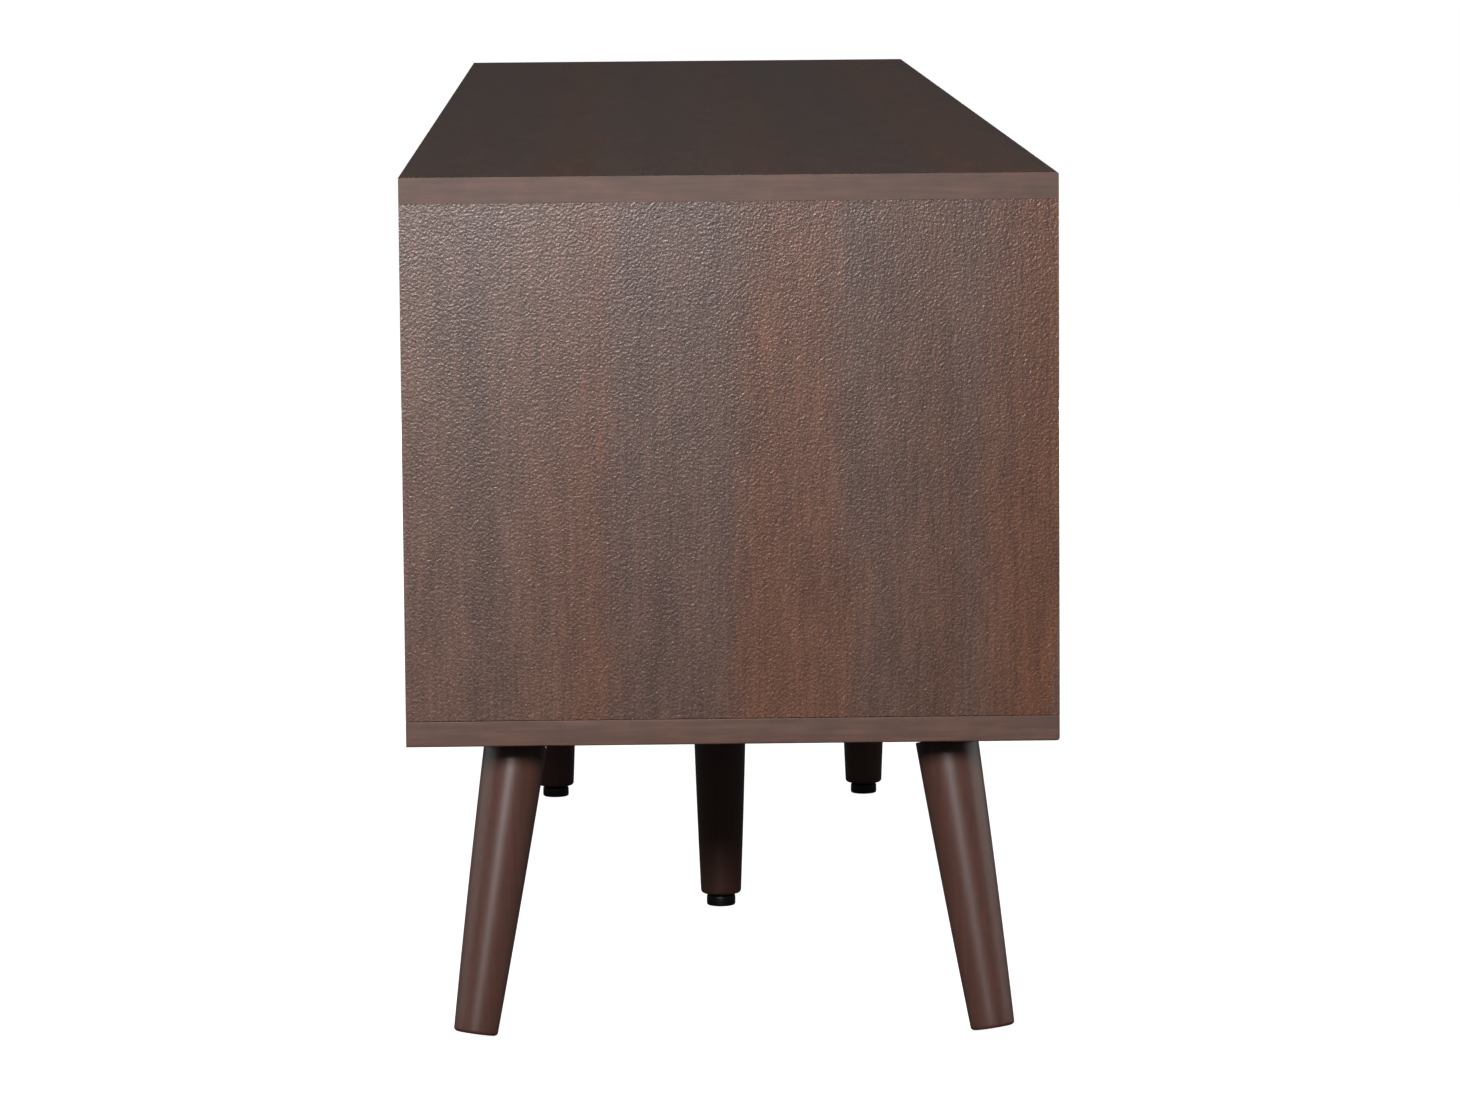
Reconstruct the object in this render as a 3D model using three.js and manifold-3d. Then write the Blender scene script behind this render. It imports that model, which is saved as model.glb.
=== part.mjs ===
// A long, low sideboard in walnut-look board, on splayed turned legs.
// Millimetres. +X runs along the length, -Y is the front, +Z is up, and z = 0 is the floor.
// From each end: a bay behind a hinged door, then a drawer over an open niche.

import * as THREE from "three";
import { mergeVertices } from "three/addons/utils/BufferGeometryUtils.js";
import Module from "manifold-3d";

const wasm = await Module();
wasm.setup();

// Driving dimensions of the carcass.
const WIDTH = 2000;
const DEPTH = 400;
const BOARD = 16;
const LEG_HEIGHT = 188;
const INTERIOR_HEIGHT = 316;
const SEAM_GAP = 0.5;
const TOP_EDGE_RADIUS = 1.5;
const BOTTOM_EDGE_RADIUS = 2;

// Back panels, let into grooves.
const BACK_THICKNESS = 3;
const BACK_INSET = 12.5;
const BACK_TONGUE = 6.5;
const GROOVE_PLAY = 0.25;
const GROOVE_DEPTH = 7;

// Doors and drawer fronts sit inside the carcass.
const FRONT_GAP = 2;
const FRONT_RECESS = 1;
const FRONT_THICKNESS = 16;

// Turned knobs.
const KNOB_LENGTH = 23;
const KNOB_BASE_RADIUS = 7;
const KNOB_NECK_RADIUS = 6;
const KNOB_HEAD_RADIUS = 13;
const DOOR_KNOB_INSET = 38;

// Knife hinges: two flat leaves in the gap above and below each door.
const PIVOT_INSET = 15;
const PIVOT_SETBACK = 7;
const LEAF_THICKNESS = 2.5;
const LEAF_WIDTH = 11;
const LEAF_REACH = 38;
const LEAF_PLAY = 0.3;
const PIN_RADIUS = 2.5;
const PIN_LENGTH = 4.2;
const PIN_BORE_RADIUS = 2.8;
const PIN_RELIEF_RADIUS = 3.4;
const PIN_RELIEF_DEPTH = 3.5;
const COLLAR_RADIUS = 5;
const COLLAR_HEIGHT = 1.7;

// Drawer boxes run on hardwood strips that sit in grooves in their sides.
const NICHE_HEIGHT = 149;
const DRAWER_SIDE_LENGTH = 345;
const DRAWER_SIDE_HEIGHT = 110;
const DRAWER_SIDE_THICKNESS = 15;
const DRAWER_SIDE_LIFT = 10;
const DRAWER_BOTTOM_LIFT = 6;
const DRAWER_TONGUE = 5.5;
const DRAWER_GROOVE_DEPTH = 6;
const RUNNER_LENGTH = 340;
const RUNNER_WIDTH = 10;
const RUNNER_HEIGHT = 16;
const RUNNER_LIFT = 47;
const RUNNER_START = 22;
const RUNNER_PLAY = 0.5;

// Legs: one turned taper, screwed to steel plates.
const LEG_TOP_RADIUS = 19.6;
const LEG_FOOT_RADIUS = 13.8;
const LEG_BELLY = 1.9;
const LEG_TAPER_LENGTH = 180;
const LEG_TOP_ROUND = 0.8;
const FOOT_ROUND = 2.4;
const FOOT_ROUND_STEPS = 3;
const LEG_SIDES = 20;
const LEG_STEPS = 6;
const CORNER_INSET = 67;
const SPLAY_SLOPE = 0.15;
const CENTRE_LEG_INSET = 80;
const QUARTER_LEG_X = 496;

const PLATE_THICKNESS = 2.5;
const PLATE_SIZE = 56;
const STUD_RADIUS = 4;
const STUD_BORE_RADIUS = 4.3;
const STUD_SIDES = 12;
const ANGLED_SEAT = 7.2;
const ANGLED_BOSS_RADIUS = 13;
const ANGLED_STUD_LENGTH = 6.3;
const TURNED_GAP = 0.3;
const NUT_RADIUS = 7;
const NUT_HEIGHT = 6.5;
const NUT_RELIEF_RADIUS = 8;
const NUT_RELIEF_DEPTH = 8;
const STRAIGHT_STUD_LENGTH = 8;
const RAIL_WIDTH = 46;
const RAIL_OVERHANG = 35;

// Levelling feet under the four inner legs.
const LEVELLER_CLEARANCE = 8.5;
const LEVELLER_PAD_HEIGHT = 8;
const LEVELLER_PAD_RADIUS = 10;
const LEVELLER_STEM_LENGTH = 22;
const LEVELLER_BORE_DEPTH = 25;

// Planes worked out from the dimensions above. The knobs stand proud of the front, and the
// origin is midway between the knobs and the rear edge.
const REAR_Y = (DEPTH + KNOB_LENGTH - FRONT_RECESS) / 2;
const FRONT_Y = REAR_Y - DEPTH;
const MIDDLE_Y = (FRONT_Y + REAR_Y) / 2;
const FLOOR_Z = LEG_HEIGHT + BOARD;
const CEILING_Z = FLOOR_Z + INTERIOR_HEIGHT;
const BACK_REAR_Y = REAR_Y - BACK_INSET;
const BACK_FRONT_Y = BACK_REAR_Y - BACK_THICKNESS;
const PANEL_FACE_Y = FRONT_Y + FRONT_RECESS;
const PANEL_REAR_Y = PANEL_FACE_Y + FRONT_THICKNESS;
const END_INNER_X = WIDTH / 2 - BOARD;
const PARTITION_X = QUARTER_LEG_X;
const DOOR_BAY = [PARTITION_X + BOARD / 2, END_INNER_X];
const DRAWER_BAY = [BOARD / 2, PARTITION_X - BOARD / 2];
const DIVIDER_Z = FLOOR_Z + NICHE_HEIGHT;
const DRAWER_BAY_Z = DIVIDER_Z + BOARD;
const PIVOT_X = END_INNER_X - FRONT_GAP - PIVOT_INSET;
const PIVOT_Y = PANEL_FACE_Y + PIVOT_SETBACK;
const PLATE_Z = LEG_HEIGHT - PLATE_THICKNESS;

const SIDES = [
  { name: "left", sign: -1 },
  { name: "right", sign: 1 },
];

const foil = { color: "#6b4c43", roughness: 0.45, metalness: 0 };
const MATERIALS = {
  walnutFoil: new THREE.MeshStandardMaterial(foil),
  drawerFoil: new THREE.MeshStandardMaterial({ ...foil, color: "#8a7468" }),
  hardboard: new THREE.MeshStandardMaterial({ color: "#6e5446", roughness: 0.7 }),
  lacqueredWood: new THREE.MeshStandardMaterial({ color: "#533932", roughness: 0.35 }),
  bareBeech: new THREE.MeshStandardMaterial({ color: "#b58f66", roughness: 0.6 }),
  steel: new THREE.MeshStandardMaterial({ color: "#9a9a98", roughness: 0.4, metalness: 1 }),
  blackPlastic: new THREE.MeshStandardMaterial({ color: "#131312", roughness: 0.45 }),
};

const sideboard = new THREE.Group();

function addPiece(name, shape, material, parent = sideboard) {
  const geometry = shape.isBufferGeometry ? shape : toGeometry(shape);
  const mesh = new THREE.Mesh(geometry, material);
  mesh.name = name;
  parent.add(mesh);
  return mesh;
}

// Solids: three.js geometry is turned into a closed solid to be cut or joined, and back.

function toSolid(geometry) {
  const bare = geometry.clone();
  bare.deleteAttribute("normal");
  bare.deleteAttribute("uv");
  const merged = mergeVertices(bare, 1e-4);
  const corners = merged.index.array;
  const kept = [];
  for (let i = 0; i < corners.length; i += 3) {
    const [a, b, c] = corners.slice(i, i + 3);
    if (a !== b && b !== c && c !== a) kept.push(a, b, c);
  }
  const mesh = new wasm.Mesh({
    numProp: 3,
    vertProperties: new Float32Array(merged.attributes.position.array),
    triVerts: new Uint32Array(kept),
  });
  return new wasm.Manifold(mesh);
}

function toGeometry(solid) {
  const mesh = solid.getMesh();
  const geometry = new THREE.BufferGeometry();
  geometry.setAttribute("position", new THREE.BufferAttribute(mesh.vertProperties, 3));
  geometry.setIndex(new THREE.BufferAttribute(mesh.triVerts, 1));
  return geometry;
}

const solidOf = (shape) => (shape.isBufferGeometry ? toSolid(shape) : shape);

function join(first, ...others) {
  return others.reduce((solid, other) => solid.add(solidOf(other)), solidOf(first));
}

function cut(first, ...tools) {
  return tools.reduce((solid, tool) => solid.subtract(solidOf(tool)), solidOf(first));
}

// Basic shapes, placed by the span that they fill along each axis.

function box(spanX, spanY, spanZ) {
  const spans = [spanX, spanY, spanZ];
  const geometry = new THREE.BoxGeometry(...spans.map(([low, high]) => high - low));
  return geometry.translate(...spans.map(([low, high]) => (low + high) / 2));
}

function rod(radius, x, y, spanZ, sides = 16) {
  const [low, high] = spanZ;
  const geometry = new THREE.CylinderGeometry(radius, radius, high - low, sides);
  return geometry.rotateX(Math.PI / 2).translate(x, y, (low + high) / 2);
}

// A profile of [radius, height] points, turned about the Z axis.
function turned(profile, sides) {
  const points = profile.map(([radius, height]) => new THREE.Vector2(radius, height));
  return new THREE.LatheGeometry(points, sides).rotateX(Math.PI / 2);
}

// The same span on the right half, or mirrored onto the left half.
function spanOn(sign, [near, far]) {
  return sign > 0 ? [near, far] : [-far, -near];
}

const inset = ([low, high], margin) => [low + margin, high - margin];
const centreOf = ([low, high]) => (low + high) / 2;

// Carcass boards.

// A horizontal board whose front edge is rounded above or below, extruded along X.
function roundedFrontBoard(spanX, bottomZ, topRadius, bottomRadius) {
  const outline = new THREE.Shape();
  const topZ = bottomZ + BOARD;
  outline.moveTo(REAR_Y, bottomZ);
  outline.lineTo(REAR_Y, topZ);
  outline.lineTo(FRONT_Y + topRadius, topZ);
  if (topRadius) {
    outline.absarc(FRONT_Y + topRadius, topZ - topRadius, topRadius, Math.PI / 2, Math.PI);
  }
  outline.lineTo(FRONT_Y, bottomZ + bottomRadius);
  if (bottomRadius) {
    const middleZ = bottomZ + bottomRadius;
    outline.absarc(FRONT_Y + bottomRadius, middleZ, bottomRadius, Math.PI, Math.PI * 1.5);
  }
  const settings = { depth: spanX[1] - spanX[0], bevelEnabled: false, curveSegments: 4 };
  const geometry = new THREE.ExtrudeGeometry(outline, settings);
  const turn = new THREE.Matrix4().makeBasis(
    new THREE.Vector3(0, 1, 0),
    new THREE.Vector3(0, 0, 1),
    new THREE.Vector3(1, 0, 0),
  );
  return geometry.applyMatrix4(turn).translate(spanX[0], 0, 0);
}

function backGroove(spanX, spanZ) {
  return box(spanX, [BACK_FRONT_Y - GROOVE_PLAY, BACK_REAR_Y + GROOVE_PLAY], spanZ);
}

// The outline of one hinge leaf: a bar with a round end about the pivot.
function leafBlank(sign, spanZ, play = 0) {
  const half = LEAF_WIDTH / 2 + play;
  const tail = spanOn(sign, [PIVOT_X - LEAF_REACH - play, PIVOT_X]);
  const bar = box(tail, [PIVOT_Y - half, PIVOT_Y + half], spanZ);
  return join(bar, rod(half, sign * PIVOT_X, PIVOT_Y, spanZ, 20));
}

const nutRelief = (x, y) =>
  rod(NUT_RELIEF_RADIUS, x, y, [LEG_HEIGHT - 1, LEG_HEIGHT + NUT_RELIEF_DEPTH]);

const CENTRE_LEG_YS = [FRONT_Y + CENTRE_LEG_INSET, REAR_Y - CENTRE_LEG_INSET];

function addCarcassHalf({ name, sign }) {
  const halfSpan = spanOn(sign, [SEAM_GAP / 2, WIDTH / 2]);
  const grooveSpan = spanOn(sign, [0, END_INNER_X + GROOVE_DEPTH]);
  const pastFace = 1;

  const topBoard = cut(
    roundedFrontBoard(halfSpan, CEILING_Z, TOP_EDGE_RADIUS, 0),
    backGroove(grooveSpan, [CEILING_Z - pastFace, CEILING_Z + GROOVE_DEPTH]),
    leafBlank(sign, [CEILING_Z - pastFace, CEILING_Z + LEAF_THICKNESS + LEAF_PLAY], LEAF_PLAY),
  );
  addPiece(`top_board_${name}`, topBoard, MATERIALS.walnutFoil);

  const bottomBoard = cut(
    roundedFrontBoard(halfSpan, LEG_HEIGHT, 0, BOTTOM_EDGE_RADIUS),
    backGroove(grooveSpan, [FLOOR_Z - GROOVE_DEPTH, FLOOR_Z + pastFace]),
    leafBlank(sign, [FLOOR_Z - LEAF_THICKNESS - LEAF_PLAY, FLOOR_Z + pastFace], LEAF_PLAY),
    nutRelief(sign * QUARTER_LEG_X, MIDDLE_Y),
    ...CENTRE_LEG_YS.map((y) => nutRelief(0, y)),
  );
  addPiece(`bottom_board_${name}`, bottomBoard, MATERIALS.walnutFoil);

  const endPanel = cut(
    box(spanOn(sign, [END_INNER_X, WIDTH / 2]), [FRONT_Y, REAR_Y], [FLOOR_Z, CEILING_Z]),
    backGroove(
      spanOn(sign, [END_INNER_X - pastFace, END_INNER_X + GROOVE_DEPTH]),
      [FLOOR_Z - pastFace, CEILING_Z + pastFace],
    ),
  );
  addPiece(`end_panel_${name}`, endPanel, MATERIALS.walnutFoil);

  const backPanel = box(
    spanOn(sign, [SEAM_GAP, END_INNER_X + BACK_TONGUE]),
    [BACK_FRONT_Y, BACK_REAR_Y],
    [FLOOR_Z - BACK_TONGUE, CEILING_Z + BACK_TONGUE],
  );
  addPiece(`back_panel_${name}`, backPanel, MATERIALS.hardboard);

  addPartition(`partition_${name}`, sign * PARTITION_X);

  const divider = box(
    spanOn(sign, DRAWER_BAY),
    [FRONT_Y, BACK_FRONT_Y],
    [DIVIDER_Z, DIVIDER_Z + BOARD],
  );
  addPiece(`drawer_divider_${name}`, divider, MATERIALS.walnutFoil);
}

function addPartition(name, x) {
  const upright = box(
    [x - BOARD / 2, x + BOARD / 2],
    [FRONT_Y, BACK_FRONT_Y],
    [FLOOR_Z, CEILING_Z],
  );
  addPiece(name, upright, MATERIALS.walnutFoil);
}

// Knobs.

function addKnob(name, x, z) {
  const headStart = 0.45 * KNOB_LENGTH;
  const headLength = KNOB_LENGTH - headStart;
  const rim = KNOB_HEAD_RADIUS;
  const profile = [
    [0, 0],
    [KNOB_BASE_RADIUS, 0],
    [KNOB_NECK_RADIUS, headStart / 2],
    [KNOB_BASE_RADIUS, headStart],
    [rim - 1.5, headStart + 0.22 * headLength],
    [rim, headStart + 0.45 * headLength],
    [rim - 1, headStart + 0.75 * headLength],
    [rim - 5, headStart + 0.95 * headLength],
    [0, KNOB_LENGTH],
  ];
  const geometry = turned(profile, 20).rotateX(Math.PI / 2);
  addPiece(name, geometry.translate(x, PANEL_FACE_Y, z), MATERIALS.lacqueredWood);
}

// Doors, with their knife hinges.

// One pair of leaves. The carcass leaf carries the pin, and the door leaf turns on it.
function addHingePair({ name, sign }, place) {
  const up = place === "bottom" ? 1 : -1;
  const boardZ = place === "bottom" ? FLOOR_Z : CEILING_Z;
  const doorZ = boardZ + up * FRONT_GAP;
  const span = (from, to) => (from < to ? [from, to] : [to, from]);
  const pinX = sign * PIVOT_X;

  const pin = rod(PIN_RADIUS, pinX, PIVOT_Y, span(boardZ, boardZ + up * PIN_LENGTH), 20);
  let carcassLeaf = join(leafBlank(sign, span(boardZ, boardZ - up * LEAF_THICKNESS)), pin);
  if (place === "bottom") {
    const collar = rod(COLLAR_RADIUS, pinX, PIVOT_Y, [boardZ, boardZ + COLLAR_HEIGHT], 20);
    carcassLeaf = join(carcassLeaf, collar);
  }
  addPiece(`${name}_carcass_leaf_${place}`, carcassLeaf, MATERIALS.steel);

  const doorLeaf = cut(
    leafBlank(sign, span(doorZ, doorZ + up * LEAF_THICKNESS)),
    rod(PIN_BORE_RADIUS, pinX, PIVOT_Y, span(doorZ - up, doorZ + up * (LEAF_THICKNESS + 1)), 20),
  );
  addPiece(`${name}_door_leaf_${place}`, doorLeaf, MATERIALS.steel);

  const mortiseDepth = LEAF_THICKNESS + LEAF_PLAY;
  return join(
    leafBlank(sign, span(doorZ - up, doorZ + up * mortiseDepth), LEAF_PLAY),
    rod(PIN_RELIEF_RADIUS, pinX, PIVOT_Y, span(doorZ, doorZ + up * PIN_RELIEF_DEPTH)),
  );
}

function addDoor(side) {
  const doorSpan = inset(DOOR_BAY, FRONT_GAP);
  const mortises = ["bottom", "top"].map((place) => addHingePair(side, place));
  const panel = cut(
    box(
      spanOn(side.sign, doorSpan),
      [PANEL_FACE_Y, PANEL_REAR_Y],
      inset([FLOOR_Z, CEILING_Z], FRONT_GAP),
    ),
    ...mortises,
  );
  addPiece(`${side.name}_door_panel`, panel, MATERIALS.walnutFoil);
  const knobX = side.sign * (doorSpan[0] + DOOR_KNOB_INSET);
  addKnob(`${side.name}_door_knob`, knobX, centreOf([FLOOR_Z, CEILING_Z]));
}

// Drawers. The "inner" side of each is the one next to the centre partition.

function addDrawer({ name, sign }) {
  const frontSpan = inset(DRAWER_BAY, FRONT_GAP);
  const frontZ = inset([DRAWER_BAY_Z, CEILING_Z], FRONT_GAP);
  const sideLowZ = DRAWER_BAY_Z + DRAWER_SIDE_LIFT;
  const sideZ = [sideLowZ, sideLowZ + DRAWER_SIDE_HEIGHT];
  const sideY = [PANEL_REAR_Y, PANEL_REAR_Y + DRAWER_SIDE_LENGTH];
  const insideSpan = inset(frontSpan, DRAWER_SIDE_THICKNESS);
  const bottomZ = [sideLowZ + DRAWER_BOTTOM_LIFT, sideLowZ + DRAWER_BOTTOM_LIFT + BACK_THICKNESS];

  // The bottom lies in this groove, cut into the front and both sides.
  const bottomGroove = box(
    spanOn(sign, inset(insideSpan, -DRAWER_GROOVE_DEPTH)),
    [PANEL_REAR_Y - DRAWER_GROOVE_DEPTH, sideY[1] + 1],
    inset(bottomZ, -GROOVE_PLAY),
  );
  const bottom = box(
    spanOn(sign, inset(insideSpan, -DRAWER_TONGUE)),
    [PANEL_REAR_Y - DRAWER_TONGUE, sideY[1]],
    bottomZ,
  );
  addPiece(`${name}_drawer_bottom`, bottom, MATERIALS.hardboard);

  const front = box(spanOn(sign, frontSpan), [PANEL_FACE_Y, PANEL_REAR_Y], frontZ);
  addPiece(`${name}_drawer_front`, cut(front, bottomGroove), MATERIALS.walnutFoil);
  addKnob(`${name}_drawer_knob`, sign * centreOf(frontSpan), centreOf(frontZ));

  const back = box(
    spanOn(sign, insideSpan),
    [sideY[1] - DRAWER_SIDE_THICKNESS, sideY[1]],
    [bottomZ[1], sideZ[1]],
  );
  addPiece(`${name}_drawer_back`, back, MATERIALS.drawerFoil);

  const runnerLowZ = sideLowZ + RUNNER_LIFT;
  const runnerZ = [runnerLowZ, runnerLowZ + RUNNER_HEIGHT];
  const runnerStartY = PANEL_REAR_Y + RUNNER_START;
  const runnerY = [runnerStartY, runnerStartY + RUNNER_LENGTH];
  const outward = { inner: -1, outer: 1 };
  const bayFace = { inner: DRAWER_BAY[0], outer: DRAWER_BAY[1] };
  for (const which of ["inner", "outer"]) {
    const fromFace = (near, far) => {
      const ends = [near, far].map((distance) => bayFace[which] - outward[which] * distance);
      return spanOn(sign, ends.sort((a, b) => a - b));
    };
    const runner = box(fromFace(0, RUNNER_WIDTH), runnerY, runnerZ);
    addPiece(`${name}_drawer_runner_${which}`, runner, MATERIALS.bareBeech);

    const runnerGroove = box(
      fromFace(0, RUNNER_WIDTH + RUNNER_PLAY),
      [runnerStartY - RUNNER_PLAY, sideY[1] + 1],
      inset(runnerZ, -RUNNER_PLAY),
    );
    const plank = box(
      fromFace(FRONT_GAP, FRONT_GAP + DRAWER_SIDE_THICKNESS),
      sideY,
      sideZ,
    );
    const grooved = cut(plank, runnerGroove, bottomGroove);
    addPiece(`${name}_drawer_side_${which}`, grooved, MATERIALS.drawerFoil);
  }
}

// Legs, their plates and their levelling feet.

function legRadius(distance) {
  const t = distance / LEG_TAPER_LENGTH;
  return THREE.MathUtils.lerp(LEG_TOP_RADIUS, LEG_FOOT_RADIUS, t) + LEG_BELLY * t * (1 - t);
}

// Points round the foot's lower edge, as [radius, height above the foot's face].
function footEdge(radius) {
  const points = [];
  for (let i = 0; i <= FOOT_ROUND_STEPS; i += 1) {
    const angle = (i / FOOT_ROUND_STEPS) * (Math.PI / 2);
    points.push([
      radius - FOOT_ROUND + FOOT_ROUND * Math.sin(angle),
      FOOT_ROUND * (1 - Math.cos(angle)),
    ]);
  }
  return points;
}

// A leg with its stud. Its axis is Z, its top face is at z = 0 and its foot is below.
function legBlank(length, studLength) {
  const profile = [[0, -length]];
  for (const [radius, height] of footEdge(legRadius(length - FOOT_ROUND))) {
    profile.push([radius, height - length]);
  }
  for (let i = 1; i < LEG_STEPS; i += 1) {
    const distance = (length - FOOT_ROUND) * (1 - i / LEG_STEPS);
    profile.push([legRadius(distance), -distance]);
  }
  profile.push(
    [LEG_TOP_RADIUS, -LEG_TOP_ROUND],
    [LEG_TOP_RADIUS - LEG_TOP_ROUND, 0],
    [STUD_RADIUS, 0],
    [STUD_RADIUS, studLength],
    [0, studLength],
  );
  return turned(profile, LEG_SIDES);
}

// How far the middle of a splayed foot's face is off the floor when its edge touches.
function footLift(footRadius, splay) {
  const facet = Math.cos(Math.PI / LEG_SIDES);
  const heights = footEdge(footRadius).map(
    ([radius, height]) => radius * facet * Math.sin(splay) - height * Math.cos(splay),
  );
  return Math.max(...heights);
}

// The length that brings a splayed leg's foot to the floor. It depends a little on the
// foot's radius, which depends on the length, so it is settled in a few passes.
function splayedLength(splay, seat) {
  let length = LEG_TAPER_LENGTH;
  for (let pass = 0; pass < 4; pass += 1) {
    const lift = footLift(legRadius(length - FOOT_ROUND), splay);
    length = (LEG_HEIGHT - lift) / Math.cos(splay) - seat;
  }
  return length;
}

function addCornerLeg({ name, sign }, end, depthSign) {
  const x = sign * (WIDTH / 2 - CORNER_INSET);
  const y = MIDDLE_Y + depthSign * (DEPTH / 2 - CORNER_INSET);
  const splay = Math.atan(SPLAY_SLOPE * Math.SQRT2);
  const down = new THREE.Vector3(sign * SPLAY_SLOPE, depthSign * SPLAY_SLOPE, -1).normalize();

  // This group's origin is where the leg's axis meets the underside of the cabinet.
  const splayed = new THREE.Group();
  splayed.position.set(x, y, LEG_HEIGHT);
  splayed.quaternion.setFromUnitVectors(new THREE.Vector3(0, 0, -1), down);
  splayed.updateMatrix();
  sideboard.add(splayed);

  const seat = ANGLED_SEAT + TURNED_GAP;
  const leg = addPiece(
    `corner_leg_${end}_${name}`,
    legBlank(splayedLength(splay, seat), ANGLED_STUD_LENGTH),
    MATERIALS.lacqueredWood,
    splayed,
  );
  leg.position.z = -seat;

  // The plate is flat against the underside, with a boss that leans as the leg does.
  const onAxis = (radius, spanZ, sides) =>
    rod(radius, 0, 0, spanZ, sides).applyMatrix4(splayed.matrix);
  const half = PLATE_SIZE / 2;
  const plateSpan = { x: [x - half, x + half], y: [y - half, y + half] };
  const flat = box(plateSpan.x, plateSpan.y, [PLATE_Z, LEG_HEIGHT]);
  const above = box(plateSpan.x, plateSpan.y, [PLATE_Z + 1, LEG_HEIGHT + PLATE_SIZE]);
  const boss = cut(onAxis(ANGLED_BOSS_RADIUS, [-ANGLED_SEAT, ANGLED_SEAT], LEG_SIDES), above);
  const bore = onAxis(STUD_BORE_RADIUS, [-2 * ANGLED_SEAT, 2 * ANGLED_SEAT], LEG_SIDES);
  addPiece(`corner_plate_${end}_${name}`, cut(join(flat, boss), bore), MATERIALS.steel);
}

// A flat plate under the cabinet, with a welded nut reaching up into the board at each leg.
function addFlatPlate(name, spanX, spanY, legPoints) {
  let plate = solidOf(box(spanX, spanY, [PLATE_Z, LEG_HEIGHT]));
  for (const [x, y] of legPoints) {
    plate = join(plate, rod(NUT_RADIUS, x, y, [PLATE_Z, LEG_HEIGHT + NUT_HEIGHT], 6));
    plate = cut(plate, rod(STUD_BORE_RADIUS, x, y, [PLATE_Z - 1, FLOOR_Z], LEG_SIDES));
  }
  addPiece(name, plate, MATERIALS.steel);
}

// An upright leg with a levelling foot screwed into its end.
function addInnerLeg(name, x, y) {
  const length = PLATE_Z - LEVELLER_CLEARANCE;
  const bore = rod(
    STUD_BORE_RADIUS,
    0,
    0,
    [-length - 1, -length + LEVELLER_BORE_DEPTH],
    STUD_SIDES,
  );
  const leg = addPiece(
    name,
    cut(legBlank(length, STRAIGHT_STUD_LENGTH), bore),
    MATERIALS.lacqueredWood,
  );
  leg.position.set(x, y, PLATE_Z);

  const rim = LEVELLER_PAD_RADIUS;
  const profile = [
    [0, 0],
    [rim - 1.2, 0],
    [rim, 1.2],
    [rim, LEVELLER_PAD_HEIGHT - 1.8],
    [rim - 1.8, LEVELLER_PAD_HEIGHT],
    [STUD_RADIUS, LEVELLER_PAD_HEIGHT],
    [STUD_RADIUS, LEVELLER_PAD_HEIGHT + LEVELLER_STEM_LENGTH],
    [0, LEVELLER_PAD_HEIGHT + LEVELLER_STEM_LENGTH],
  ];
  const foot = addPiece(
    name.replace("_leg", "_leveller"),
    turned(profile, STUD_SIDES * 2),
    MATERIALS.blackPlastic,
  );
  foot.position.set(x, y, 0);
}

for (const side of SIDES) {
  addCarcassHalf(side);
  addDoor(side);
  addDrawer(side);
  addCornerLeg(side, "front", -1);
  addCornerLeg(side, "back", 1);

  const x = side.sign * QUARTER_LEG_X;
  const half = PLATE_SIZE / 2;
  const plateSpan = { x: [x - half, x + half], y: [MIDDLE_Y - half, MIDDLE_Y + half] };
  addFlatPlate(`quarter_plate_${side.name}`, plateSpan.x, plateSpan.y, [[x, MIDDLE_Y]]);
  addInnerLeg(`quarter_leg_${side.name}`, x, MIDDLE_Y);
}

addPartition("partition_centre", 0);

// One steel rail ties the two bottom boards together and carries both centre legs.
const [frontLegY, backLegY] = CENTRE_LEG_YS;
addFlatPlate(
  "centre_rail",
  [-RAIL_WIDTH / 2, RAIL_WIDTH / 2],
  [frontLegY - RAIL_OVERHANG, backLegY + RAIL_OVERHANG],
  CENTRE_LEG_YS.map((y) => [0, y]),
);
addInnerLeg("centre_leg_front", 0, frontLegY);
addInnerLeg("centre_leg_back", 0, backLegY);

export default sideboard;
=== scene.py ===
"""A long, low sideboard in walnut-look board on splayed turned legs. Metres, -Y is the front."""

import math

import bmesh
import bpy
from mathutils import Matrix, Vector


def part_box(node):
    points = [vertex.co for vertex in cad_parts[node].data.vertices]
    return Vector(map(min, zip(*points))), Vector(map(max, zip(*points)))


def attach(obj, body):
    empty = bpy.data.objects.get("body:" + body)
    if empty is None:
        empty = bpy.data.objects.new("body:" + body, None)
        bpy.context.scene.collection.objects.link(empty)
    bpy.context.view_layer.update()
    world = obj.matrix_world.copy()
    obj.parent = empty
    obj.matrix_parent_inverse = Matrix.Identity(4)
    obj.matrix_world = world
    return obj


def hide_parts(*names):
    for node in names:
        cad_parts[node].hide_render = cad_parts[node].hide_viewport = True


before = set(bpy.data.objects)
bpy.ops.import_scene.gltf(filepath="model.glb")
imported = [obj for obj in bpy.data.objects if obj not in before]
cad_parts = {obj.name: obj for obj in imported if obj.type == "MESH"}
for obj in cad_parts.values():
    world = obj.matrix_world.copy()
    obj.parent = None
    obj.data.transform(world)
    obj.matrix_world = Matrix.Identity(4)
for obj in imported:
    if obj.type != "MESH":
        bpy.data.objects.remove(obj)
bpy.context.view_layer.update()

# Main sizes, all read from the frame.
MM = 0.001
END_LOW, END_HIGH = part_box("end_panel_left")
TOP_LOW, TOP_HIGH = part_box("top_board_left")
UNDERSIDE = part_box("bottom_board_left")[0].z
FLOOR_OF_BAYS = END_LOW.z
CEILING_OF_BAYS = END_HIGH.z
FRONT_Y = END_LOW.y
REAR_Y = END_HIGH.y
MIDDLE_Y = (FRONT_Y + REAR_Y) / 2
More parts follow.
